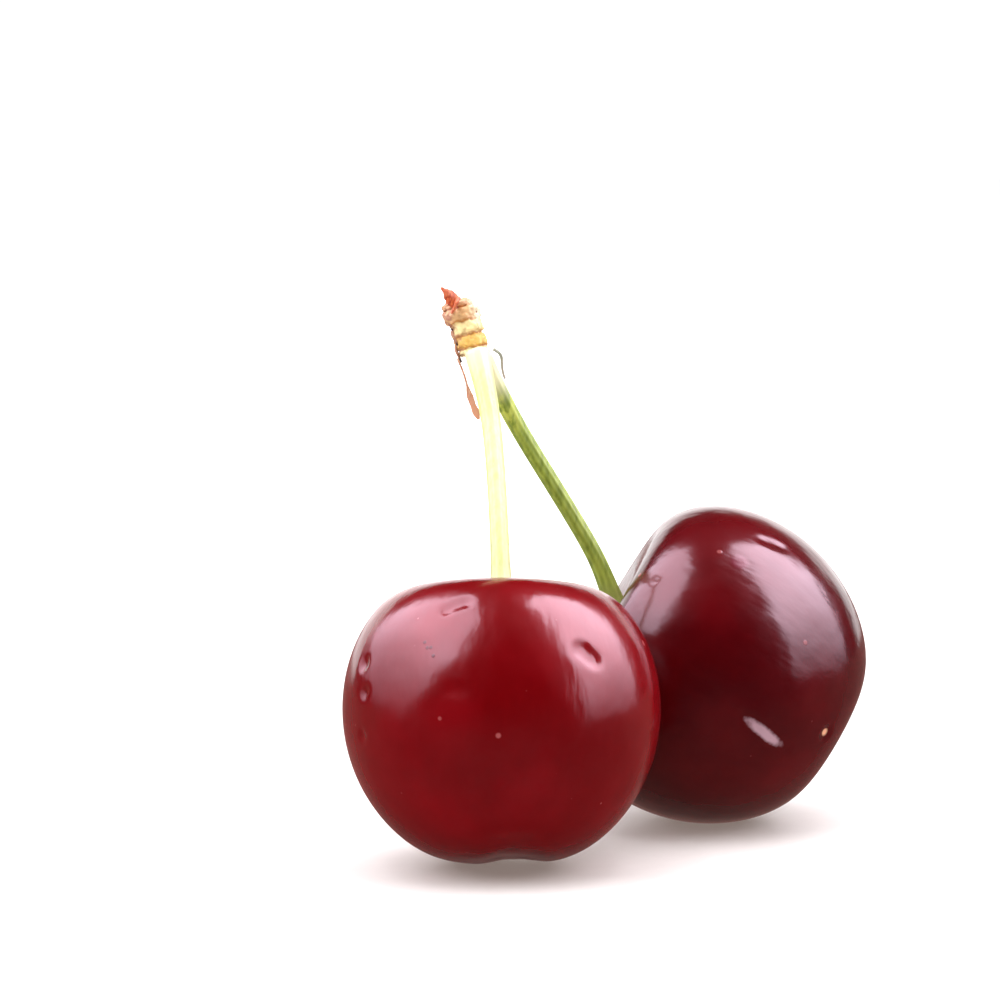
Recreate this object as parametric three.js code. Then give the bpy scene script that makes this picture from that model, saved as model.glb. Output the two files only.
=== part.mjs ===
// A pair of sweet cherries on their stalks, still joined at the bud spur that they grew from.
// The pair rests on a table by its two fruits, with the stalks leaning together above them.
// Millimetres, +Z up. The table is z = 0, and the origin is under the middle of the pair.
import * as THREE from 'three';

// The fruits. A fruit's own axis runs from its style end (the bottom) to its stalk end (the top).
const FRUIT_RINGS = 34;
const FRUIT_SIDES = 40;
const FRUITS = {
  front_cherry: {
    centre: [-9.3, -10.0, 12.8],
    lean: [-16, 0, 9], // degrees about X, then Y, then its own axis
    radius: 13.0,
    thickness: 0.96, // depth across the seam over width
    halfHeight: 13.5,
    shoulder: 0, // above 0 the widest ring moves up towards the stalk
    cavityDepth: 4.7,
    cavitySpread: 0.55, // radians from the axis
    dimpleDepth: 1.0,
    dimpleSpread: 0.35,
  },
  side_cherry: {
    centre: [8.6, 9.7, 13.4],
    lean: [-3, -60, 14],
    radius: 13.8,
    thickness: 0.93,
    halfHeight: 14.0,
    shoulder: 0.03,
    cavityDepth: 5.0,
    cavitySpread: 0.6,
    dimpleDepth: 1.4,
    dimpleSpread: 0.4,
  },
};

// The stalks, from the floor of the fruit's cavity up to the spur.
const STALK_SIDES = 10;
const STALK_STEPS = 24;
const STALKS = {
  front_stalk: {
    route: [
      [-9.3, -7.5, 21.7],
      [-9.5, -5, 28],
      [-10, -1.5, 35],
      [-11.2, 1.4, 40.2],
    ],
    radius: 0.8,
    foot: 0.45, // how much the stalk swells at each end
    head: 0.1,
  },
  side_stalk: {
    route: [
      [0.2, 9.9, 18.8],
      [-0.8, 9.7, 22.3],
      [-5, 8, 29.5],
      [-9.3, 5.2, 36.6],
      [-10.5, 3.4, 40.1],
    ],
    radius: 0.75,
    foot: 0.45,
    head: -0.12,
  },
};
const SWELL_SPREAD = 0.07; // share of the stalk's length that the swelling takes

// The bud spur: a short ringed peg, wider at its torn top, with the remains of its bud scales.
const SPUR_BASE = [-11.7, 2.4, 40.9];
const SPUR_LEAN = [-8, -15, 0];
const SPUR_HEIGHT = 4.0;
const SPUR_BASE_RADIUS = 1.3;
const SPUR_TOP_RADIUS = 1.6;
const SPUR_RINGS = 4;
const SPUR_GROOVE = 0.14;
const SPUR_SIDES = 20;
const SPUR_STEPS_PER_RING = 6;
const SPUR_CAP = 0.25; // rise of the broken top over the last ring
const GAP = 0.3; // clearance between pieces that grow together

const SCALE_LENGTH = 1.5;
const SCALE_WIDTH = 1.1;
const SCALE_THICKNESS = 0.22;
const SCALE_HANG = 165; // degrees: the tip hangs down and a little outwards
// Each bud scale: its height up the spur and its bearing round it, in degrees from +X.
const BUD_SCALES = [
  [1.0, 175],
  [2.3, 190],
  [3.6, 182],
  [2.0, 20],
  [3.3, 350],
  [1.6, 75],
  [3.0, 110],
];

const TIP_SCALE = { length: 1.9, width: 1.5, thickness: 0.5, rise: 0.9, side: -0.3, back: 0.2, lean: -45 };

const THREAD_RADIUS = 0.14;
const THREAD_STEPS = 16;
const THREAD_SIDES = 8;
const BRACT_ROUTE = [
  [-13, 1.3, 40.6],
  [-12.5, 1.2, 39],
  [-12, 1, 37.5],
  [-11.2, 0.7, 35.5],
];
// The thread opens into a flat strip between two shares of its length.
const BRACT_STRIP = { from: 0.45, full: 0.6, halfWidth: 0.55, taper: 0.6, flatness: 0.5 };
const WISP_ROUTE = [
  [-10, 2.4, 41.3],
  [-9.2, 2.4, 40.5],
  [-9.3, 2.3, 39.5],
  [-9, 2.3, 38.8],
];

const degrees = (values) => values.map(THREE.MathUtils.degToRad);
const curveThrough = (route) => new THREE.CatmullRomCurve3(route.map((p) => new THREE.Vector3(...p)));

function finish(color, roughness) {
  return new THREE.MeshStandardMaterial({ color, roughness, metalness: 0 });
}

function named(name, geometry, material) {
  const mesh = new THREE.Mesh(geometry, material);
  mesh.name = name;
  return mesh;
}

// A fruit turned from its half outline, then thinned across its seam.
function fruitGeometry(fruit) {
  const outline = [];
  for (let i = 0; i <= FRUIT_RINGS; i++) {
    const angle = Math.PI * (1 - i / FRUIT_RINGS); // 0 at the stalk, pi at the style end
    const radius = fruit.radius * Math.sin(angle) * (1 + fruit.shoulder * Math.cos(angle));
    const cavity = fruit.cavityDepth * Math.exp(-((angle / fruit.cavitySpread) ** 2));
    const dimple = fruit.dimpleDepth * Math.exp(-(((Math.PI - angle) / fruit.dimpleSpread) ** 2));
    const onAxis = i === 0 || i === FRUIT_RINGS;
    const height = fruit.halfHeight * Math.cos(angle) - cavity + dimple;
    outline.push(new THREE.Vector2(onAxis ? 0 : radius, height));
  }
  const geometry = new THREE.LatheGeometry(outline, FRUIT_SIDES);
  geometry.rotateX(Math.PI / 2);
  geometry.scale(1, fruit.thickness, 1);
  return geometry;
}

// The skin gives a little where a fruit rests, so nothing reaches below the table.
function pressFlat(mesh) {
  const { position } = mesh.geometry.attributes;
  const point = new THREE.Vector3();
  mesh.updateMatrixWorld(true);
  for (let i = 0; i < position.count; i++) {
    mesh.localToWorld(point.fromBufferAttribute(position, i));
    point.z = Math.max(point.z, 0);
    mesh.worldToLocal(point);
    position.setXYZ(i, point.x, point.y, point.z);
  }
}

// A closed body with oval sections strung along a curve: radiusAt gives its radius at each share
// of the length, and flatness its depth over its width.
function strungGeometry(curve, radiusAt, steps, sides, flatness = 1) {
  const outline = [new THREE.Vector2(0, 0)];
  for (let i = 0; i <= steps; i++) {
    outline.push(new THREE.Vector2(radiusAt(i / steps), i));
  }
  outline.push(new THREE.Vector2(0, steps));
  const geometry = new THREE.LatheGeometry(outline, sides);
  const frames = curve.computeFrenetFrames(steps, false);
  const { position } = geometry.attributes;
  const point = new THREE.Vector3();
  for (let i = 0; i < position.count; i++) {
    point.fromBufferAttribute(position, i);
    const { x, z } = point;
    const step = Math.round(point.y);
    point.copy(curve.getPointAt(step / steps));
    point.addScaledVector(frames.binormals[step], x);
    point.addScaledVector(frames.normals[step], z * flatness);
    position.setXYZ(i, point.x, point.y, point.z);
  }
  return geometry;
}

function stalkRadius(stalk) {
  return (share) => {
    const foot = stalk.foot * Math.exp(-share / SWELL_SPREAD);
    const head = stalk.head * Math.exp(-(1 - share) / SWELL_SPREAD);
    return stalk.radius + foot + head;
  };
}

function spurRadius(share) {
  const taper = SPUR_BASE_RADIUS + (SPUR_TOP_RADIUS - SPUR_BASE_RADIUS) * share;
  return taper - SPUR_GROOVE * Math.cos(2 * Math.PI * SPUR_RINGS * share);
}

function spurGeometry() {
  const steps = SPUR_STEPS_PER_RING * SPUR_RINGS;
  const outline = [new THREE.Vector2(0, 0)];
  for (let i = 0; i <= steps; i++) {
    outline.push(new THREE.Vector2(spurRadius(i / steps), (SPUR_HEIGHT * i) / steps));
  }
  outline.push(new THREE.Vector2(0, SPUR_HEIGHT + SPUR_CAP));
  return new THREE.LatheGeometry(outline, SPUR_SIDES).rotateX(Math.PI / 2);
}

// A pointed scale standing in the XZ plane on its broad end, with its tip up.
function scaleGeometry(length, width, thickness) {
  const [bulge, bulgeHeight] = [width * 0.55, length * 0.65];
  const outline = new THREE.Shape();
  outline.moveTo(-width / 2, 0);
  outline.lineTo(width / 2, 0);
  outline.quadraticCurveTo(bulge, bulgeHeight, 0, length);
  outline.quadraticCurveTo(-bulge, bulgeHeight, -width / 2, 0);
  const options = { depth: thickness, bevelEnabled: false, curveSegments: 5 };
  return new THREE.ExtrudeGeometry(outline, options).rotateX(Math.PI / 2);
}

function fruits() {
  return Object.entries(FRUITS).map(([name, fruit]) => {
    const mesh = named(name, fruitGeometry(fruit), finish(0x6e0b14, 0.15));
    mesh.position.set(...fruit.centre);
    mesh.rotation.set(...degrees(fruit.lean));
    pressFlat(mesh);
    return mesh;
  });
}

function stalks() {
  const colors = { front_stalk: 0xeff0b8, side_stalk: 0x94ad3c };
  return Object.entries(STALKS).map(([name, stalk]) => {
    const curve = curveThrough(stalk.route);
    const geometry = strungGeometry(curve, stalkRadius(stalk), STALK_STEPS, STALK_SIDES);
    return named(name, geometry, finish(colors[name], 0.55));
  });
}

function spur() {
  const group = new THREE.Group();
  group.position.set(...SPUR_BASE);
  group.rotation.set(...degrees(SPUR_LEAN));
  group.add(named('bud_spur', spurGeometry(), finish(0xe9d67e, 0.7)));

  BUD_SCALES.forEach(([height, bearing], i) => {
    const scale = named(
      `bud_scale_${i + 1}`,
      scaleGeometry(SCALE_LENGTH, SCALE_WIDTH, SCALE_THICKNESS),
      finish(0xa8714f, 0.8),
    );
    const arm = new THREE.Group();
    arm.rotation.z = THREE.MathUtils.degToRad(bearing + 90);
    scale.position.set(0, -spurRadius(height / SPUR_HEIGHT) - GAP - SCALE_THICKNESS, height);
    scale.rotation.x = THREE.MathUtils.degToRad(SCALE_HANG);
    arm.add(scale);
    group.add(arm);
  });

  const tip = named(
    'tip_scale',
    scaleGeometry(TIP_SCALE.length, TIP_SCALE.width, TIP_SCALE.thickness),
    finish(0xd8532a, 0.75),
  );
  tip.position.set(TIP_SCALE.side, TIP_SCALE.back, SPUR_HEIGHT + TIP_SCALE.rise);
  tip.rotation.y = THREE.MathUtils.degToRad(TIP_SCALE.lean);
  group.add(tip);
  return group;
}

// A thread from the foot of the spur that ends in a dry strip, hanging beside the front stalk.
function bract() {
  const { from, full, halfWidth, taper, flatness } = BRACT_STRIP;
  const radiusAt = (share) => {
    const opening = THREE.MathUtils.smoothstep(share, from, full);
    return THREAD_RADIUS + opening * (1 - taper * share) * halfWidth;
  };
  const curve = curveThrough(BRACT_ROUTE);
  const geometry = strungGeometry(curve, radiusAt, THREAD_STEPS, THREAD_SIDES, flatness);
  return named('hanging_bract', geometry, finish(0xdca078, 0.8));
}

function wisp() {
  const curve = curveThrough(WISP_ROUTE);
  const geometry = strungGeometry(curve, () => THREAD_RADIUS, THREAD_STEPS, THREAD_SIDES);
  return named('dried_wisp', geometry, finish(0xcfcdc2, 0.8));
}

const group = new THREE.Group();
group.add(...fruits(), ...stalks(), spur(), bract(), wisp());
export default group;
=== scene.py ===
"""A pair of ripe sweet cherries on their stalks, joined at a ringed bud spur, on a pale table."""
import math
import random

import bmesh
import bpy
from mathutils import Matrix, Vector


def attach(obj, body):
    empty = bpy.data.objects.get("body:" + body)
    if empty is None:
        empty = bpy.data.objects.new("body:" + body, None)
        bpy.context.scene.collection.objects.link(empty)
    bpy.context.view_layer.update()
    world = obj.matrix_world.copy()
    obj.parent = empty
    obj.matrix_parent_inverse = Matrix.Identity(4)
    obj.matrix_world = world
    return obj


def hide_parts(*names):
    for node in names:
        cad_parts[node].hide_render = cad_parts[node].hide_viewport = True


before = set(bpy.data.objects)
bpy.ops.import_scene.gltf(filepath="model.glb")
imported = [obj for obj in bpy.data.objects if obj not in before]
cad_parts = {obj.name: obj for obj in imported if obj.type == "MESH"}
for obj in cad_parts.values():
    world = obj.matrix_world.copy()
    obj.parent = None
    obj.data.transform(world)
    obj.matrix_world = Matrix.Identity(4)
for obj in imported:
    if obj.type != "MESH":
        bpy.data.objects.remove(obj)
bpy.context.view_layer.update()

MM = 0.001
FULL_TURN = 2 * math.pi
UP = Vector((0, 0, 1))
random.seed(11)


def mm(x, y, z):
    return Vector((x, y, z)) * MM


# ---- the camera ----

def set_camera():
    lens = bpy.data.cameras.new("camera")
    lens.lens = 135
    lens.sensor_width = 36
    lens.clip_start = 10 * MM
    camera = bpy.data.objects.new("camera", lens)
    camera.location = mm(-9.43, -311.84, 61.59)
    camera.rotation_euler = (math.radians(84), 0, 0)
    bpy.context.scene.collection.objects.link(camera)
    bpy.context.scene.camera = camera


set_camera()


# ---- shader maths ----

class Value:
    """A socket in a material, on which Python's operators add Math nodes."""

    def __init__(self, look, socket):
        self.look, self.socket = look, socket

    def _math(self, operation, a, b=0.0):
        return self.look.add("ShaderNodeMath", {"operation": operation}, {0: a, 1: b})

    def __add__(self, other):
        return self._math("ADD", self, other)

    def __sub__(self, other):
        return self._math("SUBTRACT", self, other)

    def __rsub__(self, other):
        return self._math("SUBTRACT", other, self)

    def __mul__(self, other):
        return self._math("MULTIPLY", self, other)

    __radd__ = __add__
    __rmul__ = __mul__

    def wave(self):
        """A wave between 0 and 1, once in each whole number."""
        return self._math("SINE", self * FULL_TURN) * 0.5 + 0.5

    def ramp(self, low, high):
        """0 before low and 1 past high, smooth between them. It falls where high is the lower one."""
        return self.look.add("ShaderNodeMapRange", {"interpolation_type": "SMOOTHSTEP"}, {
            "Value": self, "From Min": low, "From Max": high})


class Look:
    """A material, or the world, built up by expressions on its sockets. The slot it is given is kept but not
    used.
    """

    def __init__(self, name, slot=None, world=None):
        self.material = world or bpy.data.materials.new(name)
        self.material.use_nodes = True
        self.tree = self.material.node_tree
        self.tree.nodes.clear()
        self.slot = slot

    def add(self, kind, settings=None, inputs=None, output=0):
        node = self.tree.nodes.new(kind)
        for key, value in (settings or {}).items():
            setattr(node, key, value)
        for key, value in (inputs or {}).items():
            socket = node.inputs[key]
            if isinstance(value, Value):
                self.tree.links.new(value.socket, socket)
            else:
                socket.default_value = (*value, 1.0) if socket.type == "RGBA" else value
        return Value(self, node.outputs[output])

    def place(self):
        return self.add("ShaderNodeTexCoord", output="Object")

    def own(self, origin, turned, stretch=(1, 1, 1)):
        """Places in a piece's own frame, with its origin, turn and size."""
        return self.add("ShaderNodeMapping", {"vector_type": "TEXTURE"}, {
            "Vector": self.place(), "Location": origin, "Rotation": turned.to_euler("XYZ"), "Scale": stretch})

    def stretched(self, where, scale):
        return self.add("ShaderNodeMapping", inputs={"Vector": where, "Scale": scale})

    def axis(self, where, name):
        return self.add("ShaderNodeSeparateXYZ", inputs={"Vector": where}, output=name)

    def uv(self, name):
        return self.axis(self.add("ShaderNodeTexCoord", output="UV"), name)

    def noise(self, where, size, detail=2.0):
        return self.add("ShaderNodeTexNoise", inputs={"Vector": where, "Scale": 1 / size, "Detail": detail})

    def mix(self, share, a, b):
        return self.add("ShaderNodeMix", {"data_type": "RGBA"}, {0: share, 6: a, 7: b}, output=2)

    def bands(self, value, stops):
        """Colours that follow one another along a value."""
        ramp = self.tree.nodes.new("ShaderNodeValToRGB")
        while len(ramp.color_ramp.elements) < len(stops):
            ramp.color_ramp.elements.new(1.0)
        for element, (position, tone) in zip(ramp.color_ramp.elements, stops):
            element.position = position
            element.color = (*tone, 1.0)
        self.tree.links.new(value.socket, ramp.inputs["Fac"])
        return Value(self, ramp.outputs["Color"])

    def dots(self, where, spacing, radius):
        """Round dots, one in each cell of a loose net."""
        near = self.add("ShaderNodeTexVoronoi", inputs={"Vector": where, "Scale": 1 / spacing})
        return near.ramp(radius / spacing, 0.5 * radius / spacing)

    def distance(self, where, centre):
        return self.add(
            "ShaderNodeVectorMath", {"operation": "DISTANCE"}, {0: where, 1: centre}, output="Value")

    def bump(self, height, depth):
        """A bump whose height of 1 stands this deep, in metres."""
        return self.add("ShaderNodeBump", inputs={"Height": height, "Strength": 1.0, "Distance": depth})

    def finish(self, **sockets):
        surface = self.add("ShaderNodeBsdfPrincipled", inputs={
            key.replace("_", " "): value for key, value in sockets.items()})
        self.put_out(surface)
        return self

    def put_out(self, surface, kind="ShaderNodeOutputMaterial"):
        out = self.tree.nodes.new(kind)
        self.tree.links.new(surface.socket, out.inputs["Surface"])


# ---- the table and the light ----

TABLE_SIZE = 6.0
# Near the pair the paper's glow is dim and warm. This is painted warm shade round the fruits, and it also
# lifts their cast shadows. The glow turns plain white between these two distances from the pair (m).
WHITE_FROM, WHITE_TO = 0.09, 0.22
# The paper as the fruits mirror it is a painted reflection, a glow that gets lighter between these two places
# along Y (m).
MIRROR_FROM, MIRROR_TO = -0.04, 0.01


def table_look():
    """Pale paper. It throws light up at the fruits. Near them its glow is a dim warm painted shade, and what
    it mirrors into them is a painted reflection, a dim glow.
    """
    look = Look("table")
    grain = look.noise(look.place(), 1.5 * MM, 3.0)
    far = look.distance(look.place(), (0, 0, 0)).ramp(WHITE_FROM, WHITE_TO)
    paper = look.mix(grain, (0.70, 0.69, 0.685), (0.74, 0.73, 0.725))
    # The paper's glow is painted: dim and warm near the pair as painted shade, and plain white further out.
    lit = look.add("ShaderNodeBsdfPrincipled", inputs={
        "Base Color": paper, "Roughness": 0.6,
        "Emission Color": look.mix(far, (0.22, 0.18, 0.16), (1, 1, 1)), "Emission Strength": 1.0})
    # What the fruits mirror of the paper is a painted reflection: a glow that is dark in front of the pair
    # and lighter behind it.
    behind = look.axis(look.place(), "Y").ramp(MIRROR_FROM, MIRROR_TO)
    painted_reflection = look.add("ShaderNodeEmission", inputs={
        "Color": look.mix(behind, (0.035, 0.02, 0.025), (0.34, 0.18, 0.16)), "Strength": 1.0})
    bounced = look.add("ShaderNodeBsdfDiffuse", inputs={"Color": (0.75, 0.70, 0.70)})
    mirrored = look.add("ShaderNodeLightPath", output="Is Glossy Ray")
    unseen = look.add("ShaderNodeMixShader", inputs={0: mirrored, 1: bounced, 2: painted_reflection})
    seen = look.add("ShaderNodeLightPath", output="Is Camera Ray")
    look.put_out(look.add("ShaderNodeMixShader", inputs={0: seen, 1: unseen, 2: lit}))
    return look


def set_table():
    bpy.ops.mesh.primitive_plane_add(size=TABLE_SIZE)
    table = bpy.context.object
    table.name = "table"
    table.data.materials.append(table_look().material)


def add_lamp(name, place, size, power, only=None):
    """A soft square lamp over the fruits. It gives colour and shade, and never a highlight."""
    data = bpy.data.lights.new(name, "AREA")
    data.size = size
    data.energy = power
    light = bpy.data.objects.new(name, data)
    light.location = place
    light.rotation_euler = (-Vector(place)).to_track_quat("-Z", "Y").to_euler()
    light.visible_glossy = False
    light.visible_camera = False
    bpy.context.scene.collection.objects.link(light)
    if only:
        light.light_linking.receiver_collection = only


def add_panel(name, corners, glow, tint, fade):
    """The glowing face of a softbox. It shows only as a highlight, and fades out between two heights."""
    mesh = bpy.data.meshes.new(name)
    mesh.from_pydata(corners, [], [range(len(corners))])
    screen = bpy.data.objects.new(name, mesh)
    bpy.context.scene.collection.objects.link(screen)
    look = Look(name)
    height = look.axis(look.place(), "Z")
    shine = look.mix(height.ramp(*fade), (0, 0, 0), tint)
    look.put_out(look.add("ShaderNodeEmission", inputs={"Color": shine, "Strength": glow}))
    mesh.materials.append(look.material)
    screen.visible_camera = False
    screen.visible_diffuse = False
    screen.visible_transmission = False
    screen.visible_shadow = False


LEFT_PANEL = [
    (-0.5, -0.2, 0), (-0.5, -0.7, 0.8), (-0.5, -0.7, 2.4), (-0.5, 0.5, 2.4), (-0.5, 0.5, 0.2), (-0.5, 0, 0),
]
RIGHT_PANEL = [(0.5, -0.3, 0), (0.5, -0.3, 0.5), (0.5, 0.1, 2), (0.5, 0.5, 2), (0.5, 0.5, 1), (0.5, 0.2, 0)]
BACK_WALL = [(-0.8, 0.9, 0.0), (0.8, 0.9, 0.0), (0.8, 0.9, 0.45), (-0.8, 0.9, 0.45)]
MAUVE = (1.0, 0.78, 0.94)
WHITE = (1.0, 1.0, 1.0)
LAMP_SIZE = 0.8
# Each lamp over the fruits: its name, its place (m) and its power (W).
LAMPS = [
    ("left_lamp", (-0.5, -0.15, 0.6), 6.0),
    ("right_lamp", (0.5, 0.0, 0.6), 6.0),
    ("top_lamp", (0.0, 0.1, 1.0), 8.0),
    ("back_lamp", (0.15, 0.7, 0.45), 3.0),
]
ROOM_GLOW = 0.015
BACKDROP_GLOW = 1.05


def set_studio():
    add_panel("left_panel", LEFT_PANEL, glow=11, tint=MAUVE, fade=(-0.1, 0.6))
    add_panel("right_panel", RIGHT_PANEL, glow=16, tint=MAUVE, fade=(-0.1, 0.5))
    add_panel("back_wall", BACK_WALL, glow=2.0, tint=WHITE, fade=(-0.2, -0.1))
    for name, place, power in LAMPS:
        add_lamp(name, place, LAMP_SIZE, power)
    add_lamp("stalk_lamp", (-0.15, -0.6, 0.35), size=0.5, power=2.0, only=green_parts)

    world = bpy.data.worlds.new("studio")
    bpy.context.scene.world = world
    room = Look("studio", world=world)
    dark = room.add("ShaderNodeBackground", inputs={"Color": WHITE, "Strength": ROOM_GLOW})
    white = room.add("ShaderNodeBackground", inputs={"Color": WHITE, "Strength": BACKDROP_GLOW})
    seen = room.add("ShaderNodeLightPath", output="Is Camera Ray")
    both = room.add("ShaderNodeMixShader", inputs={0: seen, 1: dark, 2: white})
    room.put_out(both, "ShaderNodeOutputWorld")
    bpy.context.scene.view_settings.view_transform = "Standard"


green_parts = bpy.data.collections.new("green_parts")
set_table()
set_studio()


# ---- modelling by hand ----

def start(name, primitive, **settings):
    """Adds a primitive as a new piece, with its origin at the scene's, and opens it for editing."""
    bpy.ops.object.select_all(action="DESELECT")
    primitive(**settings)
    piece = bpy.context.object
    piece.name = name
    bpy.ops.object.transform_apply(location=True, rotation=True, scale=True)
    bpy.ops.object.mode_set(mode="EDIT")
    return piece


def pick(test):
    """Selects the corners whose place passes the test."""
    mesh = bmesh.from_edit_mesh(bpy.context.object.data)
    for corner in mesh.verts:
        corner.select = test(corner.co)
    mesh.select_flush_mode()
    bmesh.update_edit_mesh(bpy.context.object.data)


def push(value, reach=None):
    """Moves what is selected, and what lies within reach of it less and less."""
    if reach is None:
        bpy.ops.transform.translate(value=value)
    else:
        bpy.ops.transform.translate(
            value=value, use_proportional_edit=True, proportional_edit_falloff="SMOOTH",
            proportional_size=reach)


def turn(angle, axis):
    """Turns what is selected about the origin. With no window the operator turns the other way."""
    bpy.ops.transform.rotate(value=-angle, orient_axis=axis, center_override=(0, 0, 0))


def turn_and_place(turned, place):
    """Turns the whole piece about the origin by a rotation, then moves it to its place."""
    bpy.ops.mesh.select_all(action="SELECT")
    angles = turned.to_euler("XYZ")
    for angle, axis in zip(angles, "XYZ"):
        turn(angle, axis)
    push(place)


def weld():
    """Closes seams and poles, and turns every face outwards."""
    bpy.ops.mesh.select_all(action="SELECT")
    bpy.ops.mesh.remove_doubles(threshold=0.001 * MM)
    bpy.ops.mesh.normals_make_consistent(inside=False)


def spin_outline(name, points, steps):
    """Draws an outline from corner to corner and spins it about the Z axis into a closed body."""
    piece = start(name, bpy.ops.mesh.primitive_plane_add, size=MM, location=points[0])
    bpy.ops.mesh.merge(type="CENTER")
    for here, there in zip(points, points[1:]):
        bpy.ops.mesh.extrude_region_move(TRANSFORM_OT_translate={"value": there - here})
    bpy.ops.mesh.select_all(action="SELECT")
    bpy.ops.mesh.spin(steps=steps, angle=FULL_TURN, center=(0, 0, 0), axis=UP)
    weld()
    return piece


def apply(piece, kind, **settings):
    bpy.ops.object.mode_set(mode="OBJECT")
    modifier = piece.modifiers.new(kind.lower(), kind)
    for key, value in settings.items():
        setattr(modifier, key, value)
    bpy.ops.object.modifier_apply(modifier=modifier.name)


def smooth(piece, levels):
    apply(piece, "SUBSURF", levels=levels, render_levels=levels)
    bpy.ops.object.shade_smooth()


def roughen(piece, size, depth):
    """Makes a surface uneven, in bumps of a size and a depth in millimetres."""
    lumps = bpy.data.textures.new("lumps", "CLOUDS")
    lumps.noise_scale = size * MM
    lumps.noise_depth = 1
    apply(piece, "DISPLACE", texture=lumps, texture_coords="LOCAL", strength=depth * MM, mid_level=0.5)


def hand_over(piece, look, *nodes):
    """Finishes a piece: its material, its body and the nodes that it stands for."""
    if bpy.context.object.mode == "EDIT":
        bpy.ops.object.mode_set(mode="OBJECT")
    piece.data.materials.clear()
    piece.data.materials.append(look.material)
    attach(piece, "root")
    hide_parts(*nodes)


def join(pieces):
    """Makes one piece of several, under the first one's name."""
    bpy.ops.object.mode_set(mode="OBJECT")
    bpy.ops.object.select_all(action="DESELECT")
    for piece in pieces:
        piece.select_set(True)
    bpy.context.view_layer.objects.active = pieces[0]
    bpy.ops.object.join()
    return pieces[0]


# ---- the fruits ----

FRONT = {
    "node": "front_cherry", "centre": mm(-9.3, -10, 12.8), "lean": (-16, 0, 9),
    "radius": 13.0, "thickness": 0.96, "half_height": 13.5, "shoulder": 0,
    "cavity": 4.7, "cavity_spread": 0.55, "dimple": 1.0, "dimple_spread": 0.35,
}
SIDE = {
    "node": "side_cherry", "centre": mm(8.6, 9.7, 13.4), "lean": (-3, -60, 14),
    "radius": 13.8, "thickness": 0.93, "half_height": 14.0, "shoulder": 0.03,
    "cavity": 5.0, "cavity_spread": 0.6, "dimple": 1.4, "dimple_spread": 0.4,
}
OUTLINE_STEPS = 44
SPIN_STEPS = 64


def lean_of(degrees):
    """A turn about a thing's own axis, then a lean about Y, then one about X."""
    about_x, about_y, own = (math.radians(angle) for angle in degrees)
    return Matrix.Rotation(about_x, 3, "X") @ Matrix.Rotation(about_y, 3, "Y") @ Matrix.Rotation(own, 3, "Z")


def fruit_outline(fruit):
    """Half a fruit's outline, from the dimple at its style end round and down into the stalk cavity."""
    points = []
    for i in range(OUTLINE_STEPS + 1):
        angle = math.pi * (1 - i / OUTLINE_STEPS)
        width = fruit["radius"] * math.sin(angle) * (1 + fruit["shoulder"] * math.cos(angle))
        cavity = fruit["cavity"] * math.exp(-(angle / fruit["cavity_spread"]) ** 2)
        dimple = fruit["dimple"] * math.exp(-((math.pi - angle) / fruit["dimple_spread"]) ** 2)
        height = fruit["half_height"] * math.cos(angle) - cavity + dimple
        points.append(mm(width if 0 < i < OUTLINE_STEPS else 0, 0, height))
    return points


def way(bearing, height):
    """A direction from a fruit's middle: degrees round from the front, and degrees up."""
    a, b = math.radians(bearing), math.radians(height)
    return Vector((math.sin(a) * math.cos(b), -math.cos(a) * math.cos(b), math.sin(b)))


def on_skin(fruit, piece, spot):
    """The skin's corner that lies in a direction, as its place and its normal."""
    towards = way(*spot)
    corner = max(piece.data.vertices, key=lambda v: (v.co - fruit["centre"]).normalized().dot(towards))
    return corner.co.copy(), corner.normal.copy()


def press(fruit, piece, first, last, depth, reach):
    """Presses a dent into the skin, in a row between two spots."""
    bpy.ops.object.mode_set(mode="OBJECT")
    a, normal_a = on_skin(fruit, piece, first)
    b, normal_b = on_skin(fruit, piece, last)
    run = b - a

    def in_row(place):
        share = min(max((place - a).dot(run) / max(run.length_squared, 1e-12), 0), 1)
        return (place - a - run * share).length < 0.2 * MM

    bpy.ops.object.mode_set(mode="EDIT")
    pick(in_row)
    push(-(normal_a + normal_b).normalized() * depth * MM, reach * MM)


def make_fruit(fruit, dents, groove=None):
    piece = spin_outline(fruit["node"] + "_skin", fruit_outline(fruit), SPIN_STEPS)
    bpy.ops.transform.resize(value=(1, fruit["thickness"], 1), center_override=(0, 0, 0))
    turn_and_place(lean_of(fruit["lean"]), fruit["centre"])
    if groove:
        groove()
    smooth(piece, 2)
    for dent in dents:
        press(fruit, piece, *dent)
    bpy.ops.object.mode_set(mode="EDIT")
    pick(lambda place: place.z < 0)
    bpy.ops.transform.resize(value=(1, 1, 0), center_override=(0, 0, 0))
    bpy.ops.object.mode_set(mode="OBJECT")
    return piece


GROOVE_OFFSET = 1.0 * MM
GROOVE_HALF_WIDTH = 0.7 * MM
GROOVE_HEIGHT = 3.5 * MM
GROOVE_REACH = 2.6 * MM
GROOVE_LIFT = mm(0, 0.1, 0.42)


def front_groove():
    """The cleft between the two lobes that the front fruit rests on."""
    middle = FRONT["centre"].x + GROOVE_OFFSET
    pick(lambda place: abs(place.x - middle) < GROOVE_HALF_WIDTH and place.z < GROOVE_HEIGHT and place.y < 0)
    push(GROOVE_LIFT, GROOVE_REACH)


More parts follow.
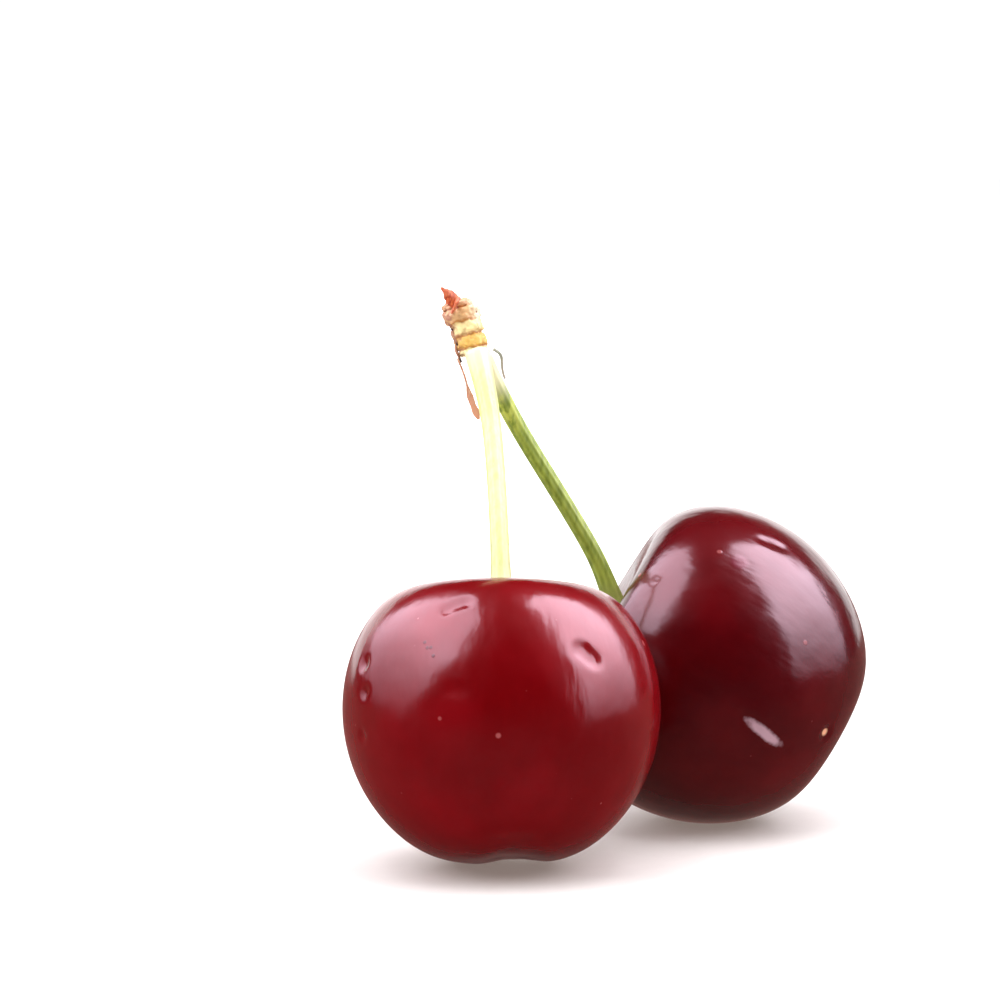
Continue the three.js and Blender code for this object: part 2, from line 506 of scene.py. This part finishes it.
# Each dent: from one direction to another (degrees round from the front and up), its depth and reach (mm).
FRONT_DENTS = [
    ((-65, 20), (-65, 20), 0.25, 1.0),
    ((-60, 10), (-60, 10), 0.20, 0.9),
    ((-60, -5), (-60, -5), 0.20, 0.9),
    ((35, 30), (40, 25), 0.25, 1.0),
    ((-30, 45), (-20, 50), 0.15, 0.7),
    ((-20, 15), (-15, 15), 0.08, 1.0),
    ((-5, -15), (0, -15), 0.12, 2.0),
    ((15, -15), (20, -20), 0.18, 1.8),
]
SIDE_DENTS = [
    ((-30, 40), (-30, 40), 0.10, 0.5),
    ((40, 60), (50, 55), 0.12, 0.9),
    ((10, -10), (30, -25), 0.12, 0.9),
    ((50, -20), (50, -20), 0.30, 1.0),
]

PALE_PORE = (0.62, 0.16, 0.16)
DARK_PORE = (0.03, 0.001, 0.002)
PURPLE_SPOT = (0.16, 0.012, 0.03)
STYLE_SCAR = (0.95, 0.50, 0.30)
# Each mark: its direction from the fruit's middle, its radius (mm), its colour and how much of it shows.
SIDE_MARKS = [((15, 50), 1.0, PURPLE_SPOT, 0.7), ((50, -20), 0.45, STYLE_SCAR, 1.0)]
# A painted highlight on the side fruit, a pale streak along a dent that stands in for the glint there: its
# colour, its two ends and its half width (mm).
DENT_GLINT = {"tone": (0.62, 0.40, 0.47), "ends": ((10, -10), (30, -25)), "half_width": 0.6}
PORES_ON_A_FRUIT = 12
SPECKS_ON_THE_SHOULDER = 4
SPECK_RADIUS = 0.2


def scatter_specks(seed):
    """A few dark specks close together on the front fruit's shoulder, as marks."""
    chance = random.Random(seed)
    return [
        ((chance.uniform(-35, -25), chance.uniform(27, 33)), SPECK_RADIUS, DARK_PORE, 0.7)
        for _ in range(SPECKS_ON_THE_SHOULDER)
    ]


def scatter_pores(seed):
    """Pale pores strewn all round a fruit, as marks."""
    chance = random.Random(seed)
    return [
        ((chance.uniform(-180, 180), chance.uniform(-45, 55)), chance.uniform(0.18, 0.35), PALE_PORE,
         chance.uniform(0.3, 0.6))
        for _ in range(PORES_ON_A_FRUIT)
    ]


def glint_shape(look, fruit, piece, ends, half_width):
    """A long oval on the skin between two spots, 1 in its middle and 0 outside."""
    (a, out), (b, _) = (on_skin(fruit, piece, end) for end in ends)
    along = (b - a).normalized()
    across = out.cross(along).normalized()
    turned = Matrix((along, across, along.cross(across))).transposed()
    half = half_width * MM
    oval = look.own((a + b) / 2, turned, ((b - a).length / 2, half, 4 * half))
    ragged = look.noise(look.place(), 0.6 * MM) * 0.5
    return (look.distance(oval, (0, 0, 0)) + ragged).ramp(1.25, 0.7)


# How large the skin's patterns are (mm).
CLOUD_SIZE = 9.0
LUMP_SIZE = 3.2
GLOSS_SIZE = 2.5
STREAK_SIZE = 1.2
SKIN_GRAIN = 0.7
PORE_SPACING = 1.9
PORE_RADIUS = 0.12
PORE_PATCHES = 4.0


def skin_look(name, fruit, piece, deep, bright, marks, glint=None):
    """Glossy cherry skin: deep crimson in soft clouds, with fine pores, a few marks and, where given, a pale
    painted highlight along a dent.
    """
    look = Look(name, "cherry_skin")
    where = look.place()
    own = look.own(fruit["centre"], lean_of(fruit["lean"]))
    clouds = look.noise(own, CLOUD_SIZE * MM, 3.0).ramp(0.35, 0.70)
    tone = look.mix(clouds, deep, bright)
    grain = look.noise(look.stretched(own, (1, 1, 0.3)), SKIN_GRAIN * MM, 2.0)
    tone = look.mix(grain.ramp(0.45, 0.75) * 0.15, tone, bright)
    patches = look.noise(own, PORE_PATCHES * MM).ramp(0.45, 0.6)
    pores = look.dots(own, PORE_SPACING * MM, PORE_RADIUS * MM) * patches
    tone = look.mix(pores * 0.35, tone, PALE_PORE)
    lumps = look.noise(own, LUMP_SIZE * MM, 1.0)
    streaks = look.noise(look.stretched(own, (1, 1, 0.4)), STREAK_SIZE * MM)
    rise = lumps * 0.9 + streaks * 0.35 + grain * 0.06 + pores * 0.05
    for spot, radius, mark, share in marks:
        middle, _ = on_skin(fruit, piece, spot)
        shape = look.distance(where, middle).ramp(radius * MM, 0.4 * radius * MM)
        tone = look.mix(shape * share, tone, mark)
        rise = rise + shape * 0.12
    # A pale painted highlight along a dent, standing in for the glint of a softbox there.
    if glint:
        glint_share = glint_shape(look, fruit, piece, glint["ends"], glint["half_width"])
        tone = look.mix(glint_share * 0.85, tone, glint["tone"])
    return look.finish(
        Base_Color=tone,
        Roughness=look.noise(own, GLOSS_SIZE * MM) * 0.10 + 0.14,
        Normal=look.bump(rise, 0.10 * MM),
        IOR=1.40,
        Specular_IOR_Level=0.5,
    )


def make_fruits():
    front = make_fruit(FRONT, FRONT_DENTS, front_groove)
    look = skin_look(
        "front_skin", FRONT, front, deep=(0.16, 0.0005, 0.002), bright=(0.22, 0.001, 0.004),
        marks=scatter_specks(seed=3) + scatter_pores(seed=1))
    hand_over(front, look, FRONT["node"])
    side = make_fruit(SIDE, SIDE_DENTS)
    look = skin_look(
        "side_skin", SIDE, side, deep=(0.07, 0.0005, 0.002), bright=(0.11, 0.001, 0.003),
        marks=SIDE_MARKS + scatter_pores(seed=2), glint=DENT_GLINT)
    hand_over(side, look, SIDE["node"])


# ---- the stalks ----

FRONT_STALK = [
    (-9.3, -7.5, 21.3), (-9.4, -6.2, 25), (-9.6, -4.5, 29), (-10, -1.5, 35), (-10.6, 0.2, 38),
    (-11.4, 1.8, 41.2),
]
SIDE_STALK = [
    (0.7, 9.9, 18.1), (0, 9.9, 20), (-0.8, 9.7, 22.3), (-2.6, 9, 25.5), (-5, 8, 29.5), (-9.3, 5.2, 36.6),
    (-11, 3, 41),
]


def route_of(points):
    """A smooth curve through the points of a route, in millimetres."""
    data = bpy.data.curves.new("route", "CURVE")
    data.dimensions = "3D"
    data.resolution_u = 24
    data.use_stretch = True
    data.use_deform_bounds = True
    spline = data.splines.new("NURBS")
    spline.points.add(len(points) - 1)
    for point, place in zip(spline.points, points):
        point.co = (*mm(*place), 1)
    spline.order_u = 4
    spline.use_endpoint_u = True
    route = bpy.data.objects.new("route", data)
    bpy.context.scene.collection.objects.link(route)
    return route


def make_strand(name, points, section, sides=20, rings=40):
    """A standing peg, cut into rings that take their half widths (mm) from section, bent along a route."""
    length = sum((Vector(b) - Vector(a)).length for a, b in zip(points, points[1:])) * MM
    piece = start(
        name, bpy.ops.mesh.primitive_cylinder_add, vertices=sides, radius=MM, depth=length,
        location=(0, 0, length / 2), end_fill_type="TRIFAN")
    for i in range(1, rings):
        bpy.ops.mesh.select_all(action="SELECT")
        bpy.ops.mesh.bisect(plane_co=(0, 0, length * i / rings), plane_no=(0, 0, 1))
    for i in range(rings + 1):
        height = length * i / rings
        pick(lambda place: abs(place.z - height) < 0.2 * length / rings)
        wide, deep = section(i / rings)
        bpy.ops.transform.resize(value=(wide, deep, 1), center_override=(0, 0, height))
    route = route_of(points)
    apply(piece, "CURVE", object=route, deform_axis="POS_Z")
    bpy.data.objects.remove(route)
    return piece


SWELL_SPREAD = 0.07  # share of a stalk's length that the swelling at its foot takes
STALK_RIBS = 11


def stalk_section(radius, foot, head):
    """A round stalk that swells at its foot in the fruit and at its head under the spur."""
    def section(share):
        half = radius * (1 + foot * math.exp(-share / SWELL_SPREAD) + head * share ** 6)
        return half, half
    return section


def stalk_look(name, slot, shade, light, foot, head, head_start):
    """A ribbed fresh stalk, with its own colours at its foot in the fruit and at its head."""
    look = Look(name, slot)
    round_way, along = look.uv("X"), look.uv("Y") * 2 - 1
    where = look.place()
    ribs = (round_way * STALK_RIBS).wave()
    grain = look.noise(look.stretched(where, (1, 1, 0.22)), 0.45 * MM, 3.0)
    tone = look.mix(grain.ramp(0.3, 0.7) * 0.7 + ribs * 0.3, shade, light)
    tone = look.mix(along.ramp(0.14, 0.02) * 0.8, tone, foot)
    tone = look.mix(along.ramp(head_start, head_start + 0.12), tone, head)
    blush = along.ramp(0.68, 0.76) * along.ramp(0.88, 0.80) * grain.ramp(0.4, 0.6)
    tone = look.mix(blush * 0.5, tone, (0.72, 0.80, 0.12))
    specks = look.dots(look.stretched(where, (1, 1, 0.5)), 0.6 * MM, 0.06 * MM)
    tone = look.mix(specks * 0.4, tone, foot)
    return look.finish(
        Base_Color=tone,
        Roughness=grain * 0.2 + 0.40,
        Normal=look.bump(ribs * 0.5 + grain * 0.6, 0.07 * MM),
        Subsurface_Weight=0.25,
        Subsurface_Radius=(1.0, 1.0, 0.5),
        Subsurface_Scale=0.5 * MM,
    )


def make_stalks():
    pale = stalk_look(
        "pale_stalk", "pale_stalk", shade=(0.66, 0.76, 0.26), light=(0.78, 0.84, 0.42),
        foot=(0.80, 0.82, 0.55), head=(0.82, 0.82, 0.52), head_start=0.86)
    stalk = make_strand("pale_stalk", FRONT_STALK, stalk_section(0.80, 0.42, 0.38))
    smooth(stalk, 1)
    hand_over(stalk, pale, "front_stalk")
    green = stalk_look(
        "green_stalk", "green_stalk", shade=(0.17, 0.27, 0.02), light=(0.42, 0.56, 0.08),
        foot=(0.30, 0.34, 0.10), head=(0.95, 0.96, 0.62), head_start=0.80)
    other = make_strand("green_stalk", SIDE_STALK, stalk_section(0.75, 0.5, 0.10))
    smooth(other, 1)
    hand_over(other, green, "side_stalk")
    for piece in (stalk, other):
        green_parts.objects.link(piece)


# ---- the bud spur, its scales and dry scraps ----

SPUR_BASE = mm(-11.7, 2.4, 40.9)
SPUR_TURN = lean_of((-8, -15, 0))
SPUR_HEIGHT = 4.6
# Each ring of the spur: the height of the groove under it and its half width (mm).
SPUR_RINGS = [(0, 1.2), (0.5, 1.3), (1.6, 1.4), (2.8, 1.5), (4, 1.3)]
# The section of one ring: shares of its height, and of its half width there.
RING_SECTION = [(0.0, 0.86), (0.12, 0.95), (0.35, 1.0), (0.7, 0.98), (0.92, 0.92)]
# How far each ring bulges to one side (mm), to the right above 0.
RING_SLIPS = [0.0, 0.06, 0.10, -0.12, -0.18]
SPUR_SPIN_STEPS = 24


def spur_outline():
    """Bulging rings with a tight groove under each, closed by a top that dips in its middle."""
    points = [mm(0, 0, 0)]
    tops = [height for height, _ in SPUR_RINGS[1:]] + [SPUR_HEIGHT]
    for (low, half), high in zip(SPUR_RINGS, tops):
        for share, bulge in RING_SECTION:
            points.append(mm(half * bulge, 0, low + (high - low) * share))
    points += [mm(0.9, 0, SPUR_HEIGHT), mm(0.4, 0, SPUR_HEIGHT - 0.15), mm(0, 0, SPUR_HEIGHT - 0.25)]
    return points


# The rings' colours from the lowest up: cream, golden, pale, straw and the tan top.
RING_TONES = [
    (0.90, 0.85, 0.45), (0.80, 0.50, 0.10), (0.90, 0.75, 0.35), (0.72, 0.45, 0.20), (0.70, 0.42, 0.22),
]


def spur_look():
    """Corky rings: golden low down, pale in the middle and tan at the top, with brown grooves, and a pale
    painted highlight on one side of the upper rings.
    """
    look = Look("spur_rings", "ringed_spur")
    own = look.own(SPUR_BASE, SPUR_TURN, (MM, MM, MM))
    grain = look.noise(own, 0.45, 4.0)
    height = (look.axis(own, "Z") + (look.noise(own, 0.8) - 0.5) * 0.5) * (1 / SPUR_HEIGHT)
    groove = (0.50, 0.20, 0.04)
    stops = [(0, RING_TONES[0])]
    for (low, _), tone in zip(SPUR_RINGS[1:], RING_TONES[1:]):
        share = low / SPUR_HEIGHT
        stops += [(share - 0.03, stops[-1][1]), (share, groove), (share + 0.05, tone)]
    tone = look.bands(height, stops)
    side = look.axis(own, "X")
    tone = look.mix(side.ramp(-0.5, -1.25) * grain.ramp(0.35, 0.6), tone, (0.42, 0.19, 0.12))
    # A painted highlight: the upper rings turn pale on the spur's +X side.
    painted_highlight = side.ramp(0.5, 1.2) * look.axis(own, "Z").ramp(2.2, 3.2)
    tone = look.mix(painted_highlight * 0.8, tone, (0.96, 0.88, 0.62))
    tone = look.mix(grain.ramp(0.5, 0.7) * 0.5, tone, (0.40, 0.18, 0.06))
    return look.finish(
        Base_Color=tone,
        Roughness=grain * 0.2 + 0.6,
        Normal=look.bump(grain, 0.10 * MM),
        Subsurface_Weight=0.15,
        Subsurface_Radius=(1.0, 0.8, 0.4),
        Subsurface_Scale=0.4 * MM,
    )


def dry_look(name, slot, pale, dark, tip, tip_from=0.6):
    """Dry papery tissue in fibres of two colours, with another colour towards its tip."""
    look = Look(name, slot)
    where = look.place()
    fibres = look.noise(look.stretched(where, (1, 1, 0.35)), 0.22 * MM, 3.0)
    tone = look.mix(fibres.ramp(0.35, 0.65), pale, dark)
    tone = look.mix(look.uv("Y").ramp(tip_from, tip_from + 0.25), tone, tip)
    return look.finish(
        Base_Color=tone,
        Roughness=fibres * 0.2 + 0.6,
        Normal=look.bump(fibres, 0.06 * MM),
        Subsurface_Weight=0.2,
        Subsurface_Radius=(1.0, 0.6, 0.3),
        Subsurface_Scale=0.3 * MM,
    )


FLAKE_COLUMNS = 4
FLAKE_ROWS = 8
FLAKE_THICKNESS = 0.2
FLAKE_TEAR = (0.85, 1.1)  # how much narrower or wider a torn row is
FLAKE_SWAY = 0.04
FLAKE_CUP = 0.12
FLAKE_BLUNT = 0.1  # the least share of its width that a flake keeps at its tip


def make_flake(name, base, tip, facing, width, curl):
    """A pointed, curled and slightly torn flake from its base to its tip (mm), turned to face a way."""
    run = Vector(tip) - Vector(base)
    length = run.length
    piece = start(
        name, bpy.ops.mesh.primitive_grid_add, x_subdivisions=FLAKE_COLUMNS, y_subdivisions=FLAKE_ROWS,
        size=1, rotation=(math.pi / 2, 0, 0), location=(0, 0, 0.5))
    for i in range(FLAKE_ROWS + 1):
        share = i / FLAKE_ROWS
        pick(lambda place: abs(place.z - share) < 0.3 / FLAKE_ROWS)
        taper = math.sin(math.pi * (0.25 + 0.75 * share))
        spread = max(taper, FLAKE_BLUNT) * random.uniform(*FLAKE_TEAR)
        bpy.ops.transform.resize(value=(width * spread, 1, 1), center_override=(0, 0, share))
        push((random.uniform(-FLAKE_SWAY, FLAKE_SWAY) * width, -curl * share ** 2, 0))
    for side in (-1, 1):
        pick(lambda place: place.x * side > 0.3 * width)
        push((0, -FLAKE_CUP * width, 0), 0.5 * width)
    bpy.ops.mesh.select_all(action="SELECT")
    bpy.ops.transform.resize(value=(MM, MM, length * MM), center_override=(0, 0, 0))
    up = run.normalized()
    front = Vector(facing) - Vector(facing).dot(up) * up
    front.normalize()
    across = front.cross(up)
    turn_and_place(Matrix((across, -front, up)).transposed(), mm(*base))
    apply(piece, "SOLIDIFY", thickness=FLAKE_THICKNESS * MM, offset=0)
    smooth(piece, 2)
    return piece


# Each bud scale: its height up the spur (mm) and its bearing round it, in degrees from +X.
BUD_SCALES = [(1.0, 175), (2.3, 190), (3.6, 182), (2.0, 20), (3.3, 350), (1.6, 75), (3.0, 110)]
SCALE_LENGTH = 1.3
SCALE_WIDTH = 1.0
SCALE_FOOT = 1.35  # how far from the spur's axis a scale grows from
SCALE_TIP = 2.0  # and how far out its tip hangs
SCALE_CURL = 0.35
# The torn tip's prongs and fold in the spur's own frame: base and tip (mm), the way each faces and its width.
TIP_FLAKES = [
    ((0, -1, 4), (-1.5, -1.5, 6), (-0.2, -1, 0.5), 1.3),
    ((-0.5, -1, 4), (-2, -1.5, 5), (-0.2, -1, 0.5), 1.4),
    ((-0.5, -1, 4.5), (-2, -1.5, 3.5), (-0.3, -1, 0), 1.4),
    ((0, 0, 4), (-0.5, 0, 5.5), (0, -1, 0), 1.0),
]
TIP_CURL = 0.2
BRACT_ROUTE = [
    (-13, 1.3, 40.6), (-12.5, 1.2, 39.5), (-12.2, 1, 38.5), (-12, 1, 37.5), (-11.6, 0.8, 36.5),
    (-11.2, 0.7, 35.5),
]
WISP_ROUTE = [
    (-10, 2.4, 41.3), (-9.4, 2.4, 41), (-9.2, 2.4, 40.5), (-9.3, 2.3, 39.5), (-9, 2.3, 38.8),
]


def on_spur(x, y, z):
    """A place given in the spur's own frame, in millimetres, as a place in the pair's."""
    return (SPUR_BASE / MM) + SPUR_TURN @ Vector((x, y, z))


def scale_flake(i, height, bearing):
    """A bud scale that grows from a ring and hangs down and a little outwards."""
    angle = math.radians(bearing)
    x, y = math.cos(angle), math.sin(angle)
    base = on_spur(SCALE_FOOT * x, SCALE_FOOT * y, height)
    tip = on_spur(SCALE_TIP * x, SCALE_TIP * y, height - SCALE_LENGTH)
    facing = SPUR_TURN @ Vector((x, y, 0))
    return make_flake("scale_flake_%d" % i, base, tip, facing, SCALE_WIDTH, SCALE_CURL)


THREAD_HALF_WIDTH = 0.1
STRIP_HALF_WIDTH = 0.22  # what the strip adds to the thread
STRIP_HALF_DEPTH = 0.09
# Shares of the thread's length: where the strip starts and how soon it is full, and where it tapers.
STRIP_FROM, STRIP_OPENING = 0.45, 0.15
TAPER_FROM, TAPER_RUN, TAPER = 0.9, 0.1, 0.55
STRIP_TEAR = (0.65, 1.2)
WISP_HALF_WIDTH = 0.15


def bract_section(share):
    """A fine thread that widens halfway into a thin ragged strip."""
    strip = min(max((share - STRIP_FROM) / STRIP_OPENING, 0), 1)
    torn = random.uniform(*STRIP_TEAR)
    end = 1 - TAPER * max(share - TAPER_FROM, 0) / TAPER_RUN
    return STRIP_HALF_DEPTH, (THREAD_HALF_WIDTH + STRIP_HALF_WIDTH * strip * torn) * end


def wisp_section(share):
    """A thread that thins towards its free end."""
    half = WISP_HALF_WIDTH * (1.1 - 0.4 * share)
    return half, half


def make_rings():
    spur = spin_outline("ringed_spur", spur_outline(), SPUR_SPIN_STEPS)
    for (height, _), slip in zip(SPUR_RINGS, RING_SLIPS):
        pick(lambda place: abs(place.z - (height + 0.5) * MM) < 0.35 * MM)
        push(mm(slip, 0, 0), 0.5 * MM)
    turn_and_place(SPUR_TURN, SPUR_BASE)
    smooth(spur, 2)
    roughen(spur, 0.7, 0.60)
    roughen(spur, 0.25, 0.22)
    hand_over(spur, spur_look(), "bud_spur")
    return spur


def make_scales():
    look = dry_look(
        "bud_scales", "bud_scale", (0.48, 0.25, 0.15), (0.24, 0.09, 0.05), (0.03, 0.015, 0.02))
    scales = []
    for i, (height, bearing) in enumerate(BUD_SCALES, 1):
        scale = scale_flake(i, height, bearing)
        hand_over(scale, look, "bud_scale_%d" % i)
        scales.append(scale)
    return scales


def make_flap():
    flap = join([
        make_flake("torn_flap_%d" % i, on_spur(*base), on_spur(*tip), facing, width, TIP_CURL)
        for i, (base, tip, facing, width) in enumerate(TIP_FLAKES, 1)])
    roughen(flap, 0.5, 0.25)
    look = dry_look("torn_flap", "torn_tip", (0.75, 0.20, 0.06), (0.42, 0.08, 0.03), (0.66, 0.16, 0.06))
    hand_over(flap, look, "tip_scale")
    return flap


def make_thread(name, route, section, look, node):
    thread = make_strand(name, route, section, sides=8, rings=24)
    smooth(thread, 1)
    hand_over(thread, look, node)
    return thread


def make_spur():
    pieces = [make_rings(), *make_scales(), make_flap()]
    bract_look = dry_look(
        "dry_bract", "dry_bract", (0.66, 0.38, 0.26), (0.45, 0.20, 0.10), (0.58, 0.28, 0.16), 0.7)
    wisp_look = dry_look("dry_thread", "dry_wisp", (0.36, 0.38, 0.30), (0.22, 0.24, 0.18), (0.36, 0.32, 0.26))
    pieces.append(make_thread("dry_bract", BRACT_ROUTE, bract_section, bract_look, "hanging_bract"))
    pieces.append(make_thread("dry_thread", WISP_ROUTE, wisp_section, wisp_look, "dried_wisp"))
    for piece in pieces:
        green_parts.objects.link(piece)


make_fruits()
make_stalks()
make_spur()
